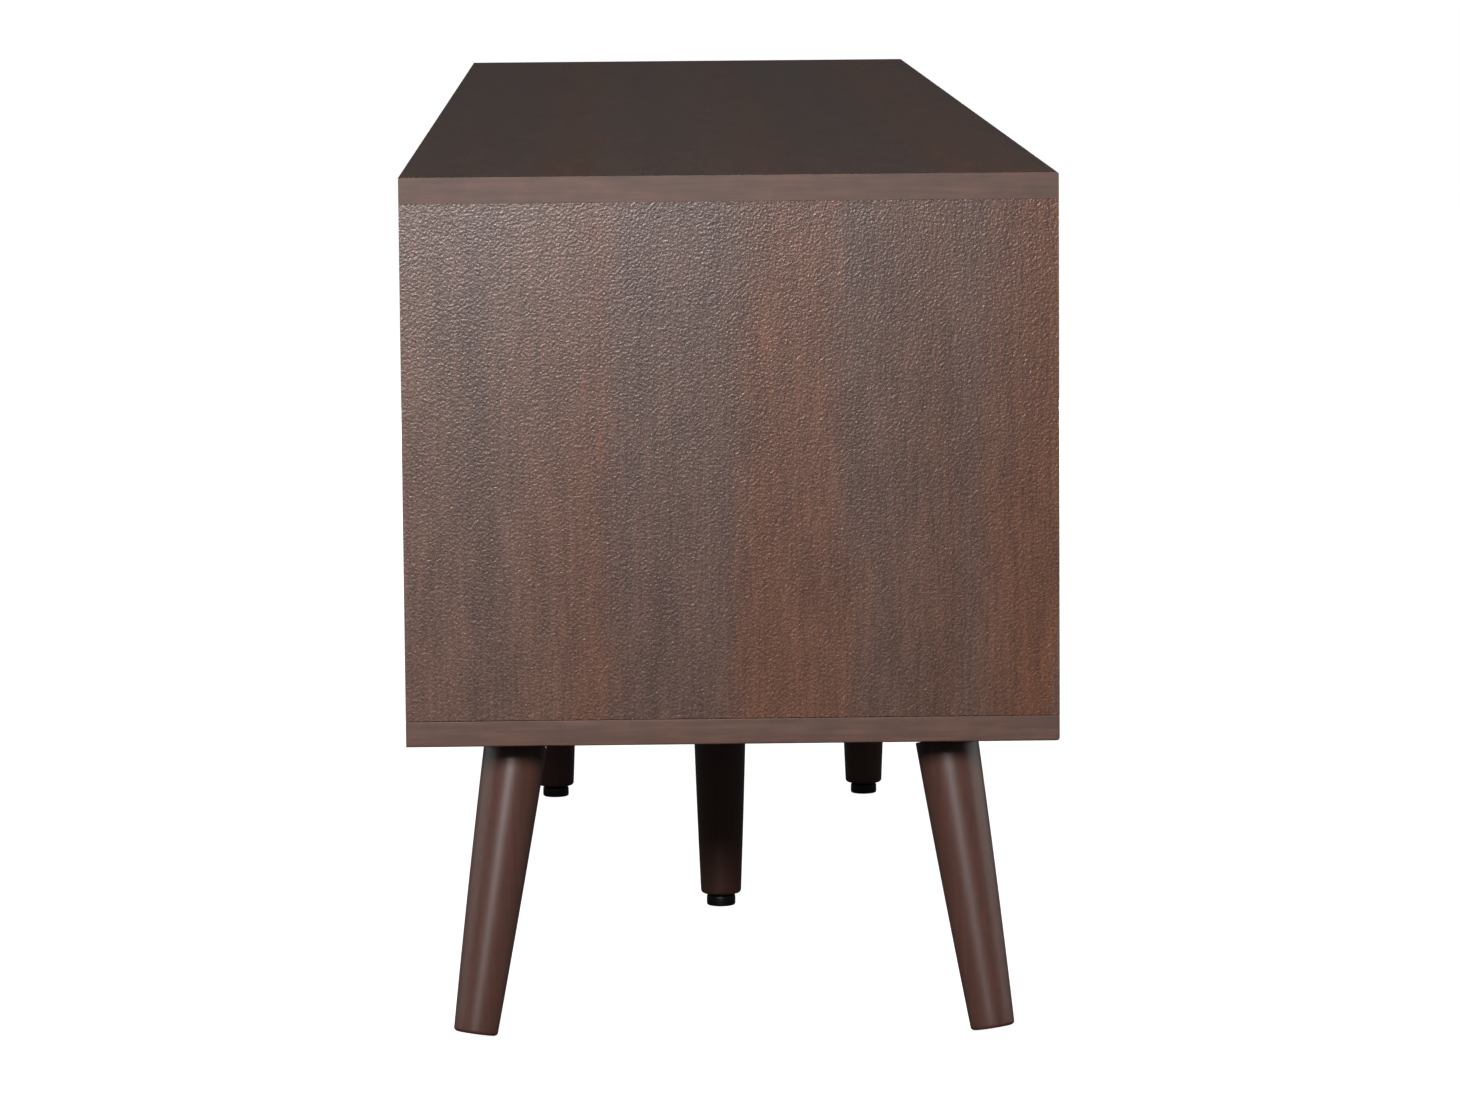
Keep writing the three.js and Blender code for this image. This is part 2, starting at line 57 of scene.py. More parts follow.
HALF_LENGTH = -END_LOW.x

SIDES = {"left": -1, "right": 1}


# Meshes and pieces.

def add_piece(name, mesh, body, finish, place=Matrix.Identity(4), stands_for=()):
    """One visible piece, in place, riding on a body of the frame."""
    piece = bpy.data.objects.new(name, mesh)
    bpy.context.scene.collection.objects.link(piece)
    piece.matrix_world = place
    mesh.materials.clear()
    mesh.materials.append(finish)
    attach(piece, body)
    if stands_for:
        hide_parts(*stands_for)
    return piece


def mesh_from(name, form, sharp=35):
    """Turns a bmesh into a smooth mesh whose edges over `sharp` degrees stay crisp."""
    bmesh.ops.recalc_face_normals(form, faces=form.faces)
    mesh = bpy.data.meshes.new(name)
    form.to_mesh(mesh)
    form.free()
    mesh.polygons.foreach_set("use_smooth", [True] * len(mesh.polygons))
    mesh.set_sharp_from_angle(angle=math.radians(sharp))
    return mesh


def turned(profile, sides=64):
    """A solid turned about Z from [radius, height] points that start and end on the axis."""
    form = bmesh.new()
    rings = []
    for radius, height in profile:
        if radius < 1e-7:
            rings.append([form.verts.new((0, 0, height))])
            continue
        turn = [2 * math.pi * i / sides for i in range(sides)]
        rings.append([form.verts.new((radius * math.cos(a), radius * math.sin(a), height))
                      for a in turn])
    for lower, upper in zip(rings, rings[1:]):
        for i in range(sides):
            corners = [lower[i % len(lower)], lower[(i + 1) % len(lower)],
                       upper[(i + 1) % len(upper)], upper[i % len(upper)]]
            form.faces.new(dict.fromkeys(corners))
    return form


def slab(low, high, rounding, segments=3):
    """A block between two corners, with its edges rounded."""
    form = bmesh.new()
    bmesh.ops.create_cube(form, size=1)
    low, high = Vector(low), Vector(high)
    for vert in form.verts:
        vert.co = Vector((low[i] + (vert.co[i] + 0.5) * (high[i] - low[i]) for i in range(3)))
    bmesh.ops.bevel(form, geom=form.edges[:], offset=rounding, segments=segments, profile=0.5,
                    affect="EDGES")
    return form


def arc(centre, radius, start, end, steps):
    """Points on an arc, as [radius, height] pairs, with angles in degrees."""
    angles = [math.radians(start + (end - start) * i / steps) for i in range(steps + 1)]
    return [[centre[0] + radius * math.cos(a), centre[1] + radius * math.sin(a)]
            for a in angles]


def carved(form, cutter):
    """The first form with the second cut out of it."""
    objects = []
    for name, part in (("carved", form), ("cutter", cutter)):
        body = bpy.data.objects.new(name, mesh_from(name, part))
        bpy.context.scene.collection.objects.link(body)
        objects.append(body)
    base, tool = objects
    cut = base.modifiers.new("cut", "BOOLEAN")
    cut.object = tool
    cut.operation = "DIFFERENCE"
    cut.solver = "MANIFOLD"
    bpy.context.view_layer.update()
    evaluated = base.evaluated_get(bpy.context.evaluated_depsgraph_get())
    result = bmesh.new()
    result.from_mesh(evaluated.to_mesh())
    for body in objects:
        bpy.data.objects.remove(body)
    return result


def repeated(form, places):
    """Copies of one form at several places, as a single mesh."""
    single = bpy.data.meshes.new("single")
    form.to_mesh(single)
    form.free()
    group = bmesh.new()
    for place in places:
        single.transform(place)
        group.from_mesh(single)
        single.transform(place.inverted())
    bpy.data.meshes.remove(single)
    return group


def facing(point, direction):
    """A place at point, with local Z along direction."""
    turn = Vector((0, 0, 1)).rotation_difference(Vector(direction)).to_matrix().to_4x4()
    return Matrix.Translation(point) @ turn


# Materials. Colours are sRGB hex values.

def linear(hex_colour):
    """An sRGB hex value as a linear colour with alpha."""
    parts = [int(hex_colour[i:i + 2], 16) / 255 for i in (1, 3, 5)]
    return [p / 12.92 if p <= 0.04045 else ((p + 0.055) / 1.055) ** 2.4 for p in parts] + [1]


def add(tree, kind, links=None, stops=None, **settings):
    """Adds a node. links gives each input, by name or number, a value or another's output."""
    made = tree.nodes.new(kind)
    for name, value in settings.items():
        setattr(made, name, value)
    for key, value in (links or {}).items():
        if isinstance(value, bpy.types.NodeSocket):
            tree.links.new(value, made.inputs[key])
        else:
            made.inputs[key].default_value = value
    if stops:
        ramp = made.color_ramp
        while len(ramp.elements) < len(stops):
            ramp.elements.new(0.5)
        for element, (position, colour) in zip(ramp.elements, stops):
            element.position = position
            element.color = colour
    return made


def start_material(name, **shader):
    """A new material with a Principled shader, and the shader's uniform values."""
    material = bpy.data.materials.new(name)
    material.use_nodes = True
    tree = material.node_tree
    principled = tree.nodes["Principled BSDF"]
    for key, value in shader.items():
        principled.inputs[key.replace("_", " ")].default_value = value
    return material, tree, principled


def grey(value):
    """A neutral colour for the stops of a ramp."""
    return (value, value, value, 1)


def squeezed(axis, amount):
    """A mapping's scale that draws a pattern out along one axis by that amount."""
    return [1 / amount if name == axis else 1.0 for name in "XYZ"]


# A Mix node's inputs A and B are 2 and 3 for numbers, 4 and 5 for vectors, 6 and 7 for colours.
# Its result is output 0, 1 or 2, in the same order.

# The foil's print, across the grain: soft stripes of grey-brown and red-brown on a repeat.
PRINT_REPEAT = 400 * MM
# The pale stripe is print lightened and greyed with painted sheen, for the lit rear edge of the
# upright panels.
PALE_STRIPE_WITH_SHEEN = linear("#6e4e3f")
GREY_STRIPE = linear("#65483c")
MID_STRIPE = linear("#684636")
RED_STRIPE = linear("#704835")
RUSSET_STRIPE = linear("#724731")


def walnut_foil(name, grain, across, shift=0.0):
    """Melamine board foil printed as walnut and pressed with a fine pebbled emboss.

    The eye sees soft stripes a few centimetres wide, short hair-like streaks along the grain,
    dark ticks for pores, and a pebbled sheen of tiny bright points wherever the light glances
    off it. The pale stripe is print lightened and greyed with painted sheen, and the ticks
    also carry a painted speckle of the emboss's glints and shade. The ends of the boards are
    banded with a smoother, duller strip, whose own grain runs along the edge. grain and across
    are the axes of the print, and shift slides its stripes.
    """
    material, tree, shader = start_material(name, IOR=1.6)
    place = add(tree, "ShaderNodeTexCoord")
    point = place.outputs["Object"]

    # 1 on the ends of the grain, where the banding is, and 0 elsewhere.
    toward_end = add(tree, "ShaderNodeVectorMath", {
        0: place.outputs["Normal"], 1: [float(axis == grain) for axis in "XYZ"],
    }, operation="DOT_PRODUCT").outputs["Value"]
    size = add(tree, "ShaderNodeMath", {0: toward_end}, operation="ABSOLUTE").outputs[0]
    banded = add(tree, "ShaderNodeMath", {0: size, 1: 0.7}, operation="GREATER_THAN").outputs[0]
    on_faces = add(tree, "ShaderNodeMath", {0: 1.0, 1: banded}, operation="SUBTRACT").outputs[0]

    # Stripes, wandering from straight by up to a sixth of the repeat.
    drift_point = add(tree, "ShaderNodeMapping", {
        "Vector": point, "Scale": squeezed(grain, 5),
    }).outputs[0]
    drift = add(tree, "ShaderNodeTexNoise", {
        "Vector": drift_point, "Scale": 1 / (40 * MM), "Detail": 3.0,
    }).outputs["Fac"]
    position = add(tree, "ShaderNodeSeparateXYZ", {0: point}).outputs[across]
    wander = add(tree, "ShaderNodeMath", {0: drift, 1: 0.16, 2: shift},
                 operation="MULTIPLY_ADD").outputs[0]
    share = add(tree, "ShaderNodeMath", {0: position, 1: -1 / PRINT_REPEAT, 2: wander},
                operation="MULTIPLY_ADD").outputs[0]
    wrapped = add(tree, "ShaderNodeMath", {0: share}, operation="FRACT").outputs[0]
    # The pale stops hold painted sheen as well as print.
    stripes = add(tree, "ShaderNodeValToRGB", {0: wrapped}, stops=[
        (0.00, PALE_STRIPE_WITH_SHEEN), (0.06, PALE_STRIPE_WITH_SHEEN), (0.10, GREY_STRIPE), (0.17, PALE_STRIPE_WITH_SHEEN),
        (0.29, RED_STRIPE), (0.33, GREY_STRIPE), (0.48, GREY_STRIPE), (0.54, RUSSET_STRIPE),
        (0.66, RED_STRIPE), (0.71, GREY_STRIPE), (0.82, MID_STRIPE), (0.86, GREY_STRIPE),
        (0.95, RUSSET_STRIPE),
    ]).outputs["Color"]
    on_strip = add(tree, "ShaderNodeMix", {
        "Factor": banded, 6: stripes, 7: MID_STRIPE,
    }, data_type="RGBA").outputs[2]

    # Streaks, 2.4 mm across and about 40 mm long. On the banding they run along the edge.
    streak_point = add(tree, "ShaderNodeMapping", {
        "Vector": point, "Scale": squeezed(grain, 16),
    }).outputs[0]
    banding_point = add(tree, "ShaderNodeMapping", {
        "Vector": point, "Scale": squeezed("Y", 16),
    }).outputs[0]
    along = add(tree, "ShaderNodeMix", {
        "Factor": banded, 4: streak_point, 5: banding_point,
    }, data_type="VECTOR").outputs[1]
    streak = add(tree, "ShaderNodeTexNoise", {
        "Vector": along, "Scale": 1 / (2.4 * MM), "Detail": 3.0, "Roughness": 0.6,
    }).outputs["Fac"]
    streak_tone = add(tree, "ShaderNodeValToRGB", {0: streak}, stops=[
        (0.32, grey(0.77)), (0.68, grey(1.16)),
    ]).outputs["Color"]
    with_streaks = add(tree, "ShaderNodeMix", {
        "Factor": 1.0, 6: on_strip, 7: streak_tone,
    }, data_type="RGBA", blend_type="MULTIPLY").outputs[2]

    # Blotches, 18 mm across and about 70 mm long.
    blotch_point = add(tree, "ShaderNodeMapping", {
        "Vector": point, "Scale": squeezed(grain, 4),
    }).outputs[0]
    blotch = add(tree, "ShaderNodeTexNoise", {
        "Vector": blotch_point, "Scale": 1 / (18 * MM), "Detail": 4.0, "Roughness": 0.6,
    }).outputs["Fac"]
    blotch_tone = add(tree, "ShaderNodeValToRGB", {0: blotch}, stops=[
        (0.30, grey(0.84)), (0.70, grey(1.14)),
    ]).outputs["Color"]
    printed = add(tree, "ShaderNodeMix", {
        "Factor": 1.0, 6: with_streaks, 7: blotch_tone,
    }, data_type="RGBA", blend_type="MULTIPLY").outputs[2]

    # Ticks for the pores, on the faces only, which also hold a painted speckle of the emboss's
    # glints and shade: lighter and darker flecks in the colour. Real pores are about 0.3 mm
    # across, too fine to show, so they are drawn 1.2 mm across.
    pore_and_sheen_speckle = add(tree, "ShaderNodeTexNoise", {
        "Vector": point, "Scale": 1 / (1.2 * MM), "Detail": 1.0, "Roughness": 0.6,
    }).outputs["Fac"]
    pore_and_sheen_speckle_tone = add(tree, "ShaderNodeValToRGB", {0: pore_and_sheen_speckle}, stops=[
        (0.36, grey(0.76)), (0.60, grey(1.14)),
    ]).outputs["Color"]
    # Multiplies in the pores and the painted speckle of glints and shade.
    with_pores_and_sheen_speckle = add(tree, "ShaderNodeMix", {
        "Factor": on_faces, 6: printed, 7: pore_and_sheen_speckle_tone,
    }, data_type="RGBA", blend_type="MULTIPLY").outputs[2]
    tree.links.new(with_pores_and_sheen_speckle, shader.inputs["Base Color"])

    # Emboss, on the faces only. Real pebbles are about 1 mm across, too fine to show, so they
    # are drawn 1.7 mm across.
    pebble = add(tree, "ShaderNodeTexNoise", {
        "Vector": point, "Scale": 1 / (1.7 * MM), "Detail": 1.0, "Roughness": 0.6,
    }).outputs["Fac"]
    height = add(tree, "ShaderNodeMath", {0: pebble, 1: on_faces},
                 operation="MULTIPLY").outputs[0]
    relief = add(tree, "ShaderNodeBump", {
        "Strength": 1.0, "Distance": 0.23 * MM, "Height": height,
    }).outputs[0]
    gloss = add(tree, "ShaderNodeMapRange", {
        "Value": banded, "To Min": 0.34, "To Max": 0.54,
    }).outputs[0]
    tree.links.new(relief, shader.inputs["Normal"])
    tree.links.new(gloss, shader.inputs["Roughness"])
    return material


def lacquered_wood():
    """Turned beech, stained dark brown and sprayed with satin lacquer, on legs and knobs.

    The eye sees an even dark brown with faint lengthwise figure under a soft, smooth sheen.
    """
    material, tree, shader = start_material(
        "stained beech, satin lacquer", Roughness=0.42, Coat_Weight=0.35, Coat_Roughness=0.3)
    point = add(tree, "ShaderNodeTexCoord").outputs["Object"]
    along = add(tree, "ShaderNodeMapping", {"Vector": point, "Scale": (1, 1, 0.05)}).outputs[0]
    figure = add(tree, "ShaderNodeTexNoise", {
        "Vector": along, "Scale": 1 / (2.5 * MM), "Detail": 4.0, "Roughness": 0.6,
    }).outputs["Fac"]
    tone = add(tree, "ShaderNodeValToRGB", {0: figure}, stops=[
        (0.30, linear("#583930")), (0.70, linear("#664237")),
    ]).outputs["Color"]
    tree.links.new(tone, shader.inputs["Base Color"])
    relief = add(tree, "ShaderNodeBump", {
        "Strength": 0.05, "Distance": 0.1 * MM, "Height": figure,
    }).outputs[0]
    tree.links.new(relief, shader.inputs["Normal"])
    return material


def hardboard():
    """Thin hardboard, pressed from wood fibre and stained.

    The eye sees a flat mid-brown with a felted, slightly fibrous mottle.
    """
    material, tree, shader = start_material("hardboard", Roughness=0.72)
    point = add(tree, "ShaderNodeTexCoord").outputs["Object"]
    fibre = add(tree, "ShaderNodeTexNoise", {
        "Vector": point, "Scale": 1 / (3 * MM), "Detail": 5.0, "Roughness": 0.7,
    }).outputs["Fac"]
    tone = add(tree, "ShaderNodeValToRGB", {0: fibre}, stops=[
        (0.30, linear("#5a4234")), (0.70, linear("#6f5443")),
    ]).outputs["Color"]
    tree.links.new(tone, shader.inputs["Base Color"])
    relief = add(tree, "ShaderNodeBump", {
        "Strength": 0.25, "Distance": 0.15 * MM, "Height": fibre,
    }).outputs[0]
    tree.links.new(relief, shader.inputs["Normal"])
    return material


def drawer_foil():
    """Paper foil glued round the drawer boards, printed as pale oak.

    The eye sees fine straight streaks of tan, matt and smooth.
    """
    material, tree, shader = start_material("drawer foil, printed oak", Roughness=0.55)
    point = add(tree, "ShaderNodeTexCoord").outputs["Object"]
    along = add(tree, "ShaderNodeMapping", {"Vector": point, "Scale": (1, 0.04, 1)}).outputs[0]
    streak = add(tree, "ShaderNodeTexNoise", {
        "Vector": along, "Scale": 1 / (2.5 * MM), "Detail": 4.0, "Roughness": 0.6,
    }).outputs["Fac"]
    tone = add(tree, "ShaderNodeValToRGB", {0: streak}, stops=[
        (0.30, linear("#8d7460")), (0.70, linear("#a58a73")),
    ]).outputs["Color"]
    tree.links.new(tone, shader.inputs["Base Color"])
    return material


def bare_beech():
    """Planed beech strip, waxed a little so that the drawer slides on it.

    The eye sees pink-tan wood with short dark flecks.
    """
    material, tree, shader = start_material("planed beech", Roughness=0.5)
    point = add(tree, "ShaderNodeTexCoord").outputs["Object"]
    along = add(tree, "ShaderNodeMapping", {"Vector": point, "Scale": (1, 0.1, 1)}).outputs[0]
    fleck = add(tree, "ShaderNodeTexNoise", {
        "Vector": along, "Scale": 1 / (0.8 * MM), "Detail": 3.0, "Roughness": 0.6,
    }).outputs["Fac"]
    tone = add(tree, "ShaderNodeValToRGB", {0: fleck}, stops=[
        (0.32, linear("#8f6844")), (0.45, linear("#b88e64")), (0.70, linear("#c59c72")),
    ]).outputs["Color"]
    tree.links.new(tone, shader.inputs["Base Color"])
    return material


def zinc_steel():
    """Pressed steel with bright zinc plate.

    The eye sees cool grey metal with a soft cloud in its tone and its gloss.
    """
    material, tree, shader = start_material("zinc-plated steel", Metallic=1.0)
    point = add(tree, "ShaderNodeTexCoord").outputs["Object"]
    cloud = add(tree, "ShaderNodeTexNoise", {
        "Vector": point, "Scale": 1 / (6 * MM), "Detail": 4.0, "Roughness": 0.6,
    }).outputs["Fac"]
    tone = add(tree, "ShaderNodeValToRGB", {0: cloud}, stops=[
        (0.30, linear("#a9aaa8")), (0.70, linear("#c6c7c4")),
    ]).outputs["Color"]
    gloss = add(tree, "ShaderNodeMapRange", {
        "Value": cloud, "From Min": 0.3, "From Max": 0.7, "To Min": 0.28, "To Max": 0.42,
    }).outputs[0]
    tree.links.new(tone, shader.inputs["Base Color"])
    tree.links.new(gloss, shader.inputs["Roughness"])
    return material


def black_polyamide():
    """Moulded black polyamide.

    The eye sees a nearly black satin skin with the fine grain of a spark-eroded mould. Real
    grain is about 0.1 mm, too fine to show, so it is drawn at 0.5 mm.
    """
    material, tree, shader = start_material("black polyamide, moulded", Roughness=0.4)
    point = add(tree, "ShaderNodeTexCoord").outputs["Object"]
    grain = add(tree, "ShaderNodeTexNoise", {
        "Vector": point, "Scale": 1 / (0.5 * MM), "Detail": 2.0, "Roughness": 0.5,
    }).outputs["Fac"]
    tone = add(tree, "ShaderNodeValToRGB", {0: grain}, stops=[
        (0.30, linear("#0d0d0c")), (0.70, linear("#161614")),
    ]).outputs["Color"]
    relief = add(tree, "ShaderNodeBump", {
        "Strength": 0.15, "Distance": 0.05 * MM, "Height": grain,
    }).outputs[0]
    tree.links.new(tone, shader.inputs["Base Color"])
    tree.links.new(relief, shader.inputs["Normal"])
    return material


def brown_cap_plastic():
    """Moulded brown polypropylene, for connector caps and the cases of the catches.

    The eye sees an even, waxy dark brown.
    """
    material, tree, shader = start_material("brown polypropylene, moulded", Roughness=0.45)
    point = add(tree, "ShaderNodeTexCoord").outputs["Object"]
    grain = add(tree, "ShaderNodeTexNoise", {
        "Vector": point, "Scale": 1 / (0.6 * MM), "Detail": 2.0,
    }).outputs["Fac"]
    tone = add(tree, "ShaderNodeValToRGB", {0: grain}, stops=[
        (0.30, linear("#3d2b23")), (0.70, linear("#493429")),
    ]).outputs["Color"]
    tree.links.new(tone, shader.inputs["Base Color"])
    return material


# The shift puts the pale stripe, with its painted sheen, on the rear edge of the upright panels.
UPRIGHT_FOIL = walnut_foil("walnut foil, grain upright", "Z", "Y",
                           shift=REAR_Y / PRINT_REPEAT - 0.08)
LENGTH_FOIL = walnut_foil("walnut foil, grain lengthwise", "X", "Y", shift=0.15)
FRONT_FOIL = walnut_foil("walnut foil on the fronts", "X", "Z", shift=0.3)
LACQUER = lacquered_wood()
HARDBOARD = hardboard()
DRAWER_FOIL = drawer_foil()
BEECH = bare_beech()
STEEL = zinc_steel()
BLACK = black_polyamide()
CAP_BROWN = brown_cap_plastic()


# Frame parts that keep their own shape: eased edges and a finish.

def dress(node, finish, easing):
    """Gives a frame part its finish, and eases its edges by that width."""
    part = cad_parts[node]
    part.data.materials.clear()
    part.data.materials.append(finish)
    part.data.polygons.foreach_set("use_smooth", [True] * len(part.data.polygons))
    weld = part.modifiers.new("weld", "WELD")
    weld.merge_threshold = 0.01 * MM
    flats = part.modifiers.new("one face per flat", "DECIMATE")
    flats.decimate_type = "DISSOLVE"
    flats.angle_limit = math.radians(0.5)
    edges = part.modifiers.new("eased edges", "BEVEL")
    edges.width = easing
    edges.segments = 2
    edges.limit_method = "ANGLE"
    edges.angle_limit = math.radians(35)
    edges.harden_normals = True
    part.modifiers.new("shading", "WEIGHTED_NORMAL")


def dress_frame_parts():
    """Gives every frame part that stays visible its finish and its eased edges."""
    for side in SIDES:
        dress(f"top_board_{side}", LENGTH_FOIL, 1.0 * MM)
        dress(f"bottom_board_{side}", LENGTH_FOIL, 0.9 * MM)
        dress(f"end_panel_{side}", UPRIGHT_FOIL, 0.2 * MM)
        dress(f"partition_{side}", UPRIGHT_FOIL, 0.3 * MM)
        dress(f"drawer_divider_{side}", LENGTH_FOIL, 0.3 * MM)
        dress(f"back_panel_{side}", HARDBOARD, 0.1 * MM)
        dress(f"quarter_plate_{side}", STEEL, 0.4 * MM)
        for end in ("front", "back"):
            dress(f"corner_plate_{end}_{side}", STEEL, 0.4 * MM)
        for which in ("inner", "outer"):
            dress(f"{side}_drawer_runner_{which}", BEECH, 0.6 * MM)
            dress(f"{side}_drawer_side_{which}", DRAWER_FOIL, 0.4 * MM)
        for place in ("bottom", "top"):
            dress(f"{side}_carcass_leaf_{place}", STEEL, 0.15 * MM)
            dress(f"{side}_door_leaf_{place}", STEEL, 0.15 * MM)
        dress(f"{side}_door_panel", FRONT_FOIL, 0.5 * MM)
        dress(f"{side}_drawer_front", FRONT_FOIL, 0.5 * MM)
        dress(f"{side}_drawer_back", DRAWER_FOIL, 0.4 * MM)
        dress(f"{side}_drawer_bottom", HARDBOARD, 0.1 * MM)
    dress("partition_centre", UPRIGHT_FOIL, 0.3 * MM)
    dress("centre_rail", STEEL, 0.4 * MM)


# Legs and feet.

LEG_TOP_RADIUS = 19.6 * MM
LEG_FOOT_RADIUS = 13.8 * MM
LEG_BELLY = 1.9 * MM
LEG_TAPER_LENGTH = 180 * MM
LEG_TOP_ROUND = 0.8 * MM
FOOT_ROUND = 2.4 * MM
STUD_RADIUS = 4 * MM
CORNER_INSET = 67 * MM
SPLAY_SLOPE = 0.15
ANGLED_SEAT = 7.5 * MM
LEVELLER_CLEARANCE = 8.5 * MM


def leg_radius(distance):
    """The taper's radius at a distance below the leg's top, with a slight belly."""
    t = distance / LEG_TAPER_LENGTH
    return LEG_TOP_RADIUS + (LEG_FOOT_RADIUS - LEG_TOP_RADIUS) * t + LEG_BELLY * t * (1 - t)


def splayed_length():
    """The length that brings a splayed leg's rounded foot to the floor."""
    splay = math.atan(SPLAY_SLOPE * math.sqrt(2))
    length = LEG_TAPER_LENGTH
    for _ in range(4):
        rim = leg_radius(length - FOOT_ROUND) - FOOT_ROUND
        drop = UNDERSIDE - FOOT_ROUND - rim * math.sin(splay)
        length = drop / math.cos(splay) - ANGLED_SEAT + FOOT_ROUND
    return length


def leg_form(length, stud_length):
    """A leg whose top is at z = 0, with its stud above and its foot below."""
    foot = leg_radius(length - FOOT_ROUND)
    profile = [[0, -length]]
    profile += arc((foot - FOOT_ROUND, FOOT_ROUND - length), FOOT_ROUND, -90, 0, 8)
    steps = 24
    for i in range(1, steps):
        distance = (length - FOOT_ROUND) * (1 - i / steps)
        profile.append([leg_radius(distance), -distance])
    top_centre = (LEG_TOP_RADIUS - LEG_TOP_ROUND, -LEG_TOP_ROUND)
    profile += arc(top_centre, LEG_TOP_ROUND, 0, 90, 4)
    profile += [[STUD_RADIUS, 0], [STUD_RADIUS, stud_length], [0, stud_length]]
    return turned(profile)


def add_corner_legs():
    """The four splayed legs, each turned in its mesh so that its place is only a shift."""
    for side, sign in SIDES.items():
        for end, depth_sign in (("front", -1), ("back", 1)):
            node = f"corner_leg_{end}_{side}"
            start = Vector((
                sign * (HALF_LENGTH - CORNER_INSET),
                MIDDLE_Y + depth_sign * ((REAR_Y - FRONT_Y) / 2 - CORNER_INSET),
                UNDERSIDE,
            ))
            down = Vector((sign * SPLAY_SLOPE, depth_sign * SPLAY_SLOPE, -1)).normalized()
            turn = Vector((0, 0, -1)).rotation_difference(down).to_matrix().to_4x4()
            leg = leg_form(splayed_length(), 6 * MM)
            leg.transform(turn)
            place = Matrix.Translation(start + down * ANGLED_SEAT)
            add_piece(f"{node}_turned", mesh_from(node, leg), "carcass", LACQUER,
                      place, [node])


def leveller_form():
    """A round pad with a rounded rim, a short neck and a threaded stem above."""
    pad, pad_top = 10 * MM, 8 * MM
    thread_end, thread_pitch = 28 * MM, 1.25 * MM
    profile = [[0, 0], [pad - 2 * MM, 0]]
    profile += arc((pad - 1.4 * MM, 1.4 * MM), 1.4 * MM, -80, 0, 6)
    profile += arc((pad - 2 * MM, 5.8 * MM), 2 * MM, 0, 80, 6)
    profile += [[6 * MM, pad_top], [STUD_RADIUS, pad_top]]
    z = pad_top
    while z < thread_end:
        profile += [[STUD_RADIUS, z + 0.3 * thread_pitch],
                    [STUD_RADIUS - 0.5 * MM, z + 0.8 * thread_pitch]]
        z += thread_pitch
    profile += [[STUD_RADIUS - 0.6 * MM, 29.5 * MM], [0, 30 * MM]]
    return turned(profile, 48)


def add_inner_legs():
    """The upright legs and their levelling feet; gives back all the pieces."""
    pieces = []
    nodes = [f"quarter_leg_{side}" for side in SIDES] + ["centre_leg_front", "centre_leg_back"]
    top_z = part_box("centre_rail")[0].z
    for node in nodes:
        low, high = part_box(node)
        middle = (low + high) / 2
        place = Matrix.Translation((middle.x, middle.y, top_z))
        mesh = mesh_from(node, leg_form(top_z - LEVELLER_CLEARANCE, 8 * MM))
        pieces.append(add_piece(f"{node}_turned", mesh, "carcass", LACQUER, place,
                                [node]))

        foot = node.replace("_leg", "_leveller")
        place = Matrix.Translation((middle.x, middle.y, 0))
        mesh = mesh_from(foot, leveller_form())
        pieces.append(add_piece(f"{foot}_moulded", mesh, f"{foot}_foot", BLACK,
                                place, [foot]))
    return pieces


# Knobs.

def knob_form():
    """A turned knob on Z: flared base, waisted neck and a domed, mushroom-shaped head."""
    length = 23 * MM
    base, neck, head = 7 * MM, 5.6 * MM, 13 * MM
    neck_end = 0.45 * length
    profile = [[0, 0], [base - 0.4 * MM, 0], [base, 0.5 * MM]]
    steps = 10
    for i in range(1, steps):
        t = i / steps
        waist = (base - neck) * math.sin(math.pi * t) ** 0.8
        profile.append([base - waist, 0.5 * MM + t * (neck_end - 0.5 * MM)])
    under = [[base + (head - base) * math.sin(math.radians(a)),
              neck_end + 4.2 * MM * (1 - math.cos(math.radians(a)))] for a in range(0, 91, 10)]
    dome_start = neck_end + 4.2 * MM
    dome = [[head * math.cos(math.radians(a)),
             dome_start + (length - dome_start) * math.sin(math.radians(a))]
            for a in range(6, 90, 6)]
    return turned(profile + under + dome + [[0, length]], 56)


def add_knobs():
    """One knob on each door and drawer front."""
    for side in SIDES:
        for kind in ("door", "drawer"):
            node = f"{side}_{kind}_knob"
            low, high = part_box(node)
            middle = (low + high) / 2
            place = facing((middle.x, high.y, middle.z), (0, -1, 0))
            mesh = mesh_from(node, knob_form())
            body = f"{side}_{kind}"
            add_piece(f"{node}_turned", mesh, body, LACQUER, place, [node])


# Screws and other small hardware.

PLATE_SCREW_MARGIN = 8 * MM
RAIL_SCREW_REACH = 50 * MM
LEAF_SCREW_DISTANCES = [d * MM for d in (6, 15, 24)]
RUNNER_SCREW_DISTANCES = [d * MM for d in (25, 170, 315)]
CAP_DISTANCES = [d * MM for d in (60, 320)]
CAP_HEIGHT = 34 * MM
NAIL_HEIGHTS = [d * MM for d in (40, 118, 196, 275)]
NAIL_OFFSET = 4.5 * MM
CATCH_DISTANCE = 45 * MM


def cross_recess(radius, depth, top):
    """The cutter for a driver's cross: two crossed arms that reach `depth` below `top`."""
    half_width = 0.16 * radius
    arm = slab((-radius, -half_width, top - depth), (radius, half_width, top + depth),
               0.05 * radius, 1)
    return repeated(arm, [Matrix.Rotation(turn, 4, "Z") for turn in (0, math.pi / 2)])


def pan_head(radius):
    """A pan-head screw's head, standing on z = 0."""
    height = 0.55 * radius
    profile = [[0, 0], [radius * 0.98, 0], [radius, 0.12 * radius]]
    profile += [[radius * math.cos(math.radians(a)) ** 0.7,
                 0.12 * radius + (height - 0.12 * radius) * math.sin(math.radians(a))]
                for a in range(10, 90, 10)]
    head = turned(profile + [[0, height]], 32)
    return carved(head, cross_recess(0.55 * radius, 0.3 * radius, height))


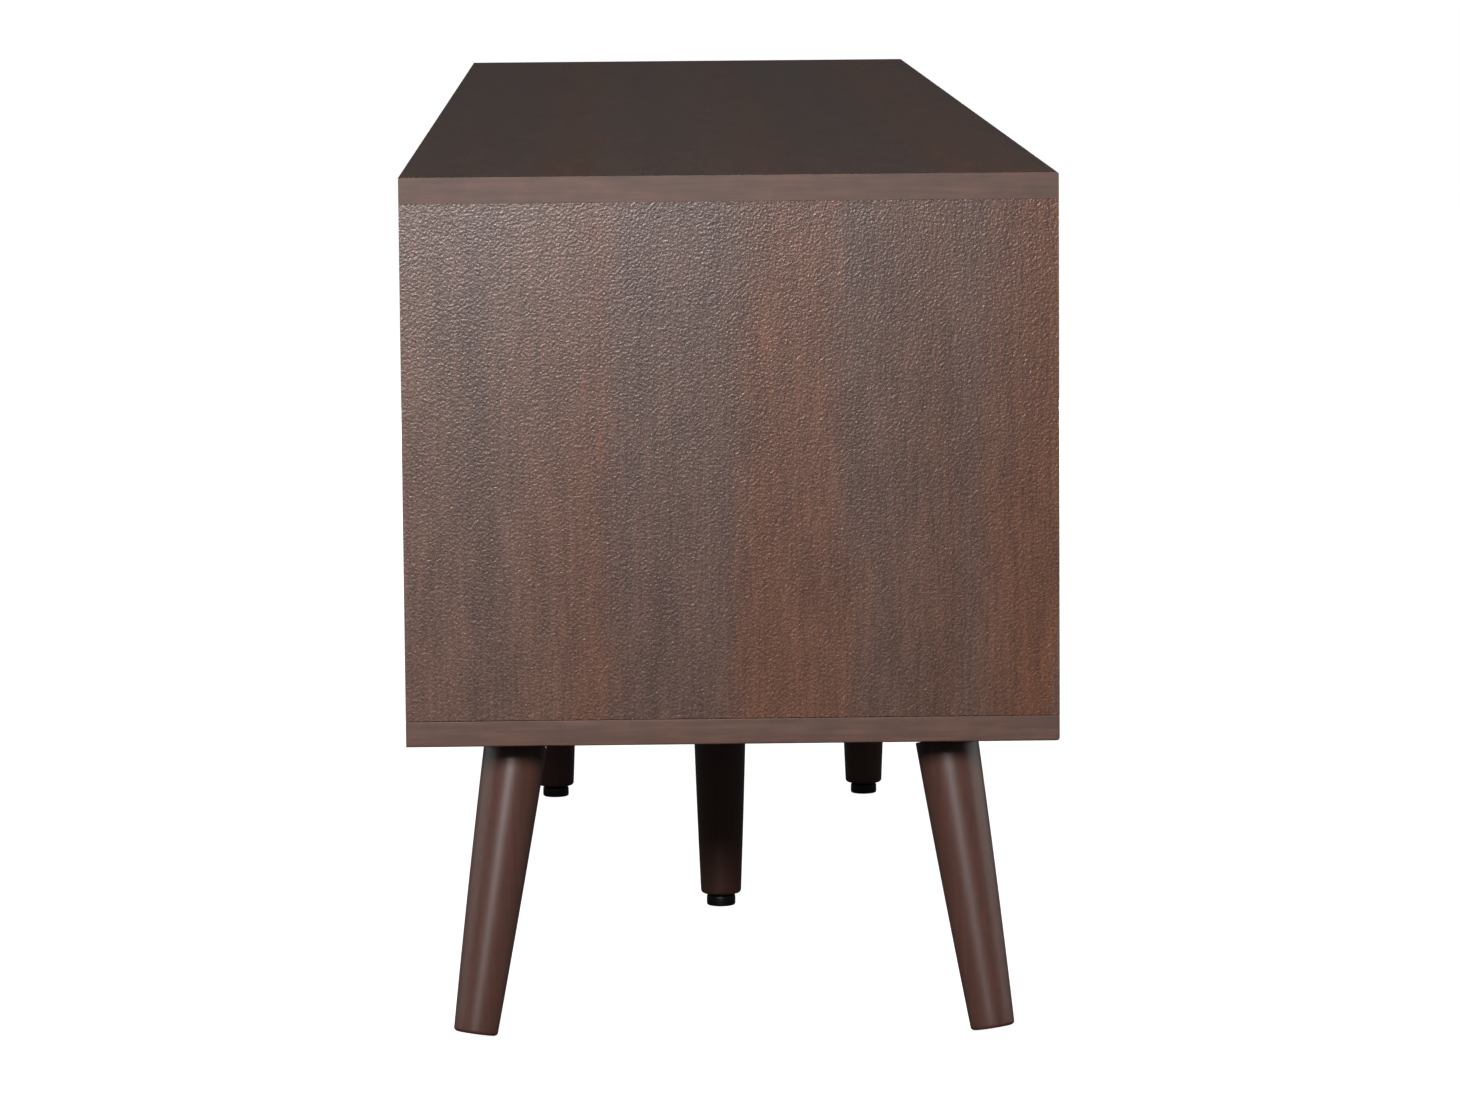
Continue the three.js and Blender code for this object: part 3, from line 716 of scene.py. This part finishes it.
def flat_head(radius):
    """A countersunk head, sunk so that only a thin rim stands over z = 0."""
    rise = 0.15 * MM
    profile = [[0, -0.1 * MM], [radius * 0.9, -0.1 * MM], [radius, 0], [radius * 0.97, rise],
               [0, rise]]
    return carved(turned(profile, 32), cross_recess(0.6 * radius, 0.2 * MM, rise))


def add_screws(name, form, places, body):
    """One piece that holds a copy of the screw or nail at each place."""
    mesh = mesh_from(name, repeated(form, places))
    return add_piece(name, mesh, body, STEEL)


def add_plate_screws():
    """Pan-head screws that hold the leg plates and the centre rail to the bottom boards."""
    margin = PLATE_SCREW_MARGIN
    down = (0, 0, -1)
    plates = [f"corner_plate_{end}_{side}" for end in ("front", "back") for side in SIDES]
    plates += [f"quarter_plate_{side}" for side in SIDES] + ["centre_rail"]
    under_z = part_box("centre_rail")[0].z
    for plate in plates:
        low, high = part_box(plate)
        ys = [low.y + margin, high.y - margin]
        if plate == "centre_rail":
            ys += [MIDDLE_Y - RAIL_SCREW_REACH, MIDDLE_Y + RAIL_SCREW_REACH]
        spots = [(x, y, under_z) for x in (low.x + margin, high.x - margin) for y in ys]
        places = [facing(spot, down) for spot in spots]
        add_screws(f"{plate}_screws", pan_head(3.8 * MM), places, "carcass")


def add_leaf_screws():
    """Three flat-head screws in each knife-hinge leaf."""
    for side, sign in SIDES.items():
        for owner, body in (("carcass", "carcass"), ("door", f"{side}_door")):
            for place_name, up in (("bottom", 1), ("top", -1)):
                node = f"{side}_{owner}_leaf_{place_name}"
                low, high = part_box(node)
                outward = up if owner == "carcass" else -up
                tail = low.x if sign > 0 else high.x
                y = (low.y + high.y) / 2
                if owner == "carcass":
                    face = FLOOR_OF_BAYS if up > 0 else CEILING_OF_BAYS
                else:
                    face = low.z if outward < 0 else high.z
                spots = [(tail + sign * distance, y, face) for distance in LEAF_SCREW_DISTANCES]
                places = [facing(spot, (0, 0, outward)) for spot in spots]
                add_screws(f"{node}_screws", flat_head(2.9 * MM), places, body)


def add_runner_screws():
    """Flat-head screws through each drawer runner, seen when the drawer is out."""
    for side, sign in SIDES.items():
        for which in ("inner", "outer"):
            node = f"{side}_drawer_runner_{which}"
            low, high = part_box(node)
            inward = sign if which == "inner" else -sign
            x = high.x if inward > 0 else low.x
            z = (low.z + high.z) / 2
            spots = [(x, low.y + distance, z) for distance in RUNNER_SCREW_DISTANCES]
            places = [facing(spot, (inward, 0, 0)) for spot in spots]
            add_screws(f"{node}_screws", flat_head(3.2 * MM), places, "carcass")


def add_connector_caps():
    """Round caps over the panel connectors, low down on the walls of the open bays."""
    radius = 8.5 * MM
    profile = [[0, 0], [radius, 0], [radius, 0.3 * MM]]
    profile += arc((radius - 0.5 * MM, 0.3 * MM), 0.5 * MM, 0, 90, 4)
    profile += [[3.2 * MM, 0.8 * MM], [2.8 * MM, 0.45 * MM], [0, 0.45 * MM]]
    walls = [("end_panel_left", 1), ("partition_left", -1), ("partition_left", 1),
             ("partition_centre", -1), ("partition_centre", 1), ("partition_right", -1),
             ("partition_right", 1), ("end_panel_right", -1)]
    for wall, inward in walls:
        low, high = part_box(wall)
        x = high.x if inward > 0 else low.x
        spots = [(x, FRONT_Y + distance, FLOOR_OF_BAYS + CAP_HEIGHT)
                 for distance in CAP_DISTANCES]
        places = [facing(spot, (inward, 0, 0)) for spot in spots]
        mesh = mesh_from(wall, repeated(turned(profile, 40), places))
        name = f"{wall}_caps_{'right' if inward > 0 else 'left'}"
        add_piece(name, mesh, "carcass", CAP_BROWN)


def add_back_nails():
    """Small nails that hold the back panels to the partitions' rear edges."""
    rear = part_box("back_panel_left")[1].y
    profile = [[0, 0], [1.7 * MM, 0], [1.6 * MM, 0.35 * MM], [0, 0.5 * MM]]
    for wall, offsets in (("partition_left", [0]), ("partition_right", [0]),
                          ("partition_centre", [-NAIL_OFFSET, NAIL_OFFSET])):
        low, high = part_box(wall)
        x = (low.x + high.x) / 2
        spots = [(x + offset, rear, FLOOR_OF_BAYS + height)
                 for offset in offsets for height in NAIL_HEIGHTS]
        places = [facing(spot, (0, 1, 0)) for spot in spots]
        add_screws(f"{wall}_nails", turned(profile, 20), places, "carcass")


def add_catches():
    """A magnetic catch under the top board, and its strike plate on the door's back."""
    half_case, half_pole, half_strike = 23 * MM, 14 * MM, 17 * MM
    for side, sign in SIDES.items():
        low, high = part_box(f"{side}_door_panel")
        free_edge = low.x if sign > 0 else high.x
        x = free_edge + sign * CATCH_DISTANCE
        ceiling = CEILING_OF_BAYS
        front = high.y + 1.2 * MM
        case = slab((x - half_case, front + 0.6 * MM, ceiling - 14 * MM),
                    (x + half_case, front + 17 * MM, ceiling), 1.2 * MM)
        add_piece(f"{side}_catch_case", mesh_from("catch case", case), "carcass", CAP_BROWN)
        pole = slab((x - half_pole, front, -0.8 * MM),
                    (x + half_pole, front + 4 * MM, 0.8 * MM), 0.2 * MM, 1)
        heights = (ceiling - 5 * MM, ceiling - 11 * MM)
        poles = repeated(pole, [Matrix.Translation((0, 0, z)) for z in heights])
        add_piece(f"{side}_catch_poles", mesh_from("catch poles", poles), "carcass", STEEL)
        strike = slab((x - half_strike, high.y, ceiling - 16 * MM),
                      (x + half_strike, high.y + 1 * MM, ceiling - 3 * MM), 0.4 * MM, 2)
        add_piece(f"{side}_strike_plate", mesh_from("strike plate", strike), f"{side}_door",
                  STEEL)


def add_knob_screws():
    """The pan-head screws behind the knobs, on the inside of each front."""
    for side in SIDES:
        for kind in ("door", "drawer"):
            low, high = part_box(f"{side}_{kind}_knob")
            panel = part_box(f"{side}_door_panel" if kind == "door" else f"{side}_drawer_front")
            middle = (low + high) / 2
            place = facing((middle.x, panel[1].y, middle.z), (0, 1, 0))
            add_screws(f"{side}_{kind}_knob_screw", pan_head(4 * MM), [place], f"{side}_{kind}")


dress_frame_parts()
add_corner_legs()
INNER_LEGS = add_inner_legs()
add_knobs()
add_plate_screws()
add_leaf_screws()
add_runner_screws()
add_connector_caps()
add_back_nails()
add_catches()
add_knob_screws()


# Studio: a pale floor, a pale surround, soft lights and the camera.

def glowing_card(name, albedo, glow):
    """A plain white studio card that is lifted a little towards white by its own glow."""
    material, _, shader = start_material(name, Roughness=0.9, Specular_IOR_Level=0.1)
    shader.inputs["Base Color"].default_value = grey(albedo)
    shader.inputs["Emission Color"].default_value = grey(1)
    shader.inputs["Emission Strength"].default_value = glow
    return material


def add_studio():
    """A white floor and surround that light nothing, and a dim light in the air above them."""
    reach = 40
    bpy.ops.mesh.primitive_circle_add(vertices=96, radius=reach, fill_type="NGON",
                                      location=(0, 0, -0.5 * MM))
    floor = bpy.context.object
    floor.name = "studio_floor"
    floor.data.materials.append(glowing_card("pale studio floor", 0.8, 0.95))
    floor.visible_glossy = False
    floor.visible_diffuse = False
    bpy.ops.mesh.primitive_uv_sphere_add(segments=48, ring_count=24, radius=reach)
    surround = bpy.context.object
    surround.name = "studio_surround"
    surround.data.materials.append(glowing_card("pale studio surround", 0.0, 1.05))
    surround.visible_diffuse = False
    surround.visible_glossy = False
    surround.visible_shadow = False

    world = bpy.data.worlds.new("studio air")
    bpy.context.scene.world = world
    world.use_nodes = True
    tree = world.node_tree
    way = add(tree, "ShaderNodeTexCoord").outputs["Generated"]
    upward = add(tree, "ShaderNodeSeparateXYZ", {0: way}).outputs["Z"]
    glow = add(tree, "ShaderNodeMapRange", {
        "Value": upward, "From Min": -0.3, "From Max": 0.0, "To Min": 0.02, "To Max": 0.085,
    }).outputs[0]
    tree.links.new(glow, tree.nodes["Background"].inputs["Strength"])
    tree.nodes["Background"].inputs["Color"].default_value = grey(1)


def add_softbox(name, place, aim, size, watts, colour="#ffffff"):
    """A rectangular lamp that faces `aim` and that the camera doesn't see."""
    light = bpy.data.lights.new(name, "AREA")
    light.shape = "RECTANGLE"
    light.size, light.size_y = size
    light.energy = watts
    light.color = linear(colour)[:3]
    lamp = bpy.data.objects.new(name, light)
    bpy.context.scene.collection.objects.link(lamp)
    lamp.location = place
    lamp.rotation_euler = (Vector(aim) - Vector(place)).to_track_quat("-Z", "Y").to_euler()
    lamp.visible_camera = False
    return lamp


def flag_off(lamp, pieces):
    """Keeps a lamp's light off some pieces, as a black flag on a stand would."""
    shaded = bpy.data.collections.new(f"{lamp.name} flagged off")
    for piece in pieces:
        shaded.objects.link(piece)
    for entry in shaded.collection_objects:
        entry.light_linking.link_state = "EXCLUDE"
    lamp.light_linking.receiver_collection = shaded


add_studio()
END_CENTRE = (-HALF_LENGTH, MIDDLE_Y, 0.35)
add_softbox("key softbox", (-3.2, 0.36, 1.02), END_CENTRE, (0.4, 0.4), 42, "#fbfcff")
front = add_softbox("front softbox", (0.2, -3.4, 1.3), (0, 0, 0.3), (5.0, 2.0), 52)
rear = add_softbox("rear softbox", (0.2, 3.4, 1.3), (0, 0, 0.3), (5.0, 2.0), 40)
far_end = add_softbox("far-end softbox", (3.4, -0.3, 0.1), (HALF_LENGTH, MIDDLE_Y, 0.35),
                      (0.8, 0.8), 30)
for lamp in (front, rear, far_end):
    flag_off(lamp, INNER_LEGS)

# A long lens off the left end, a little above the top, tilted down at the cabinet.
LENS_MM = 148.36
SENSOR_MM = 36
CAMERA_PLACE = (-4.6411, 0.0788, 0.7307)
CAMERA_ANGLES = (83.391, 0.465, -91.104)
lens = bpy.data.cameras.new("camera")
lens.lens = LENS_MM
lens.sensor_width = SENSOR_MM
lens.clip_end = 200
camera = bpy.data.objects.new("camera", lens)
bpy.context.scene.collection.objects.link(camera)
camera.location = CAMERA_PLACE
camera.rotation_euler = [math.radians(angle) for angle in CAMERA_ANGLES]
bpy.context.scene.camera = camera
bpy.context.scene.view_settings.view_transform = "Standard"
